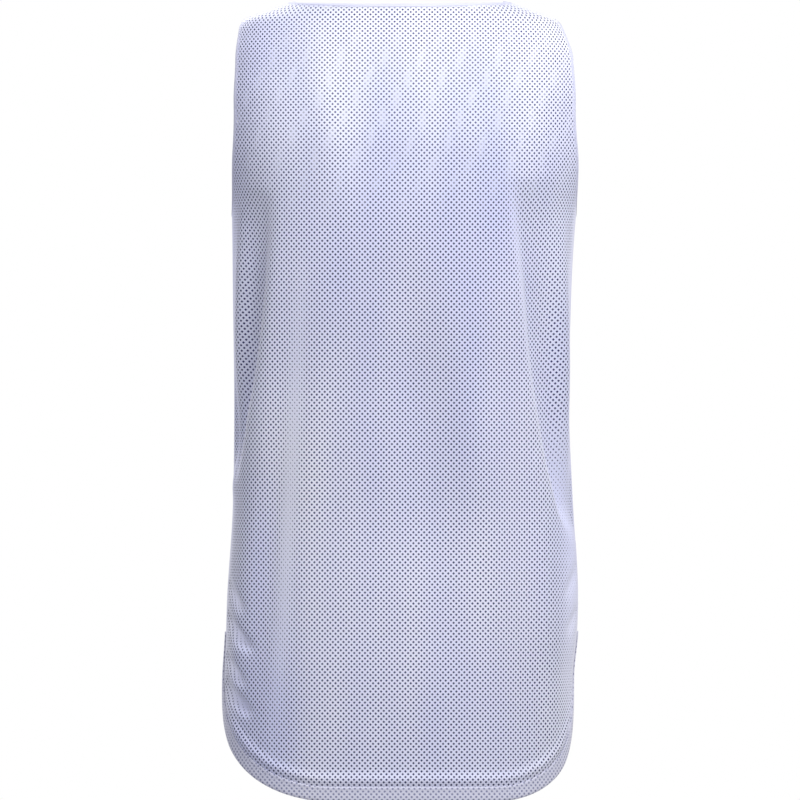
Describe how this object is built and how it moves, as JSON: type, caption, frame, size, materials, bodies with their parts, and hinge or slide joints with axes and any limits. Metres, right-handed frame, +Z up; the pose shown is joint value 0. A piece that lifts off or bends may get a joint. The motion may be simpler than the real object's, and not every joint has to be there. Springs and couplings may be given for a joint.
{
  "type": "basketball jersey",
  "caption": "Sleeveless reversible mesh jersey in two layers, filled out as worn, with wide straps, deep armholes, open side vents and a rounded hem that drops lower at the back.",
  "frame": {"origin": "midway between the two neck ends of the shoulder seams, at their level, where the wearer's shoulders hold the jersey up", "axes": "+Z up, +Y the way the wearer faces, +X the wearer's right; the picture is taken from -Y and shows the back"},
  "size_m": [0.3571, 0.2475, 0.7976],
  "materials": {
    "pale_mesh": "satin knitted mesh with small round holes",
    "navy_mesh": "satin knitted mesh with small round holes",
    "pale_mesh_double": "satin knitted mesh folded double",
    "pale_binding": "smooth satin knit"
  },
  "bodies": {
    "root": {"back_outer": "pale_mesh", "front_outer": "pale_mesh", "back_inner": "navy_mesh", "front_inner": "navy_mesh", "back_hem": "pale_mesh_double", "front_hem": "pale_mesh_double", "armhole_binding_left": "pale_binding", "armhole_binding_right": "pale_binding", "neck_binding": "pale_binding"}
  },
  "joints": []
}
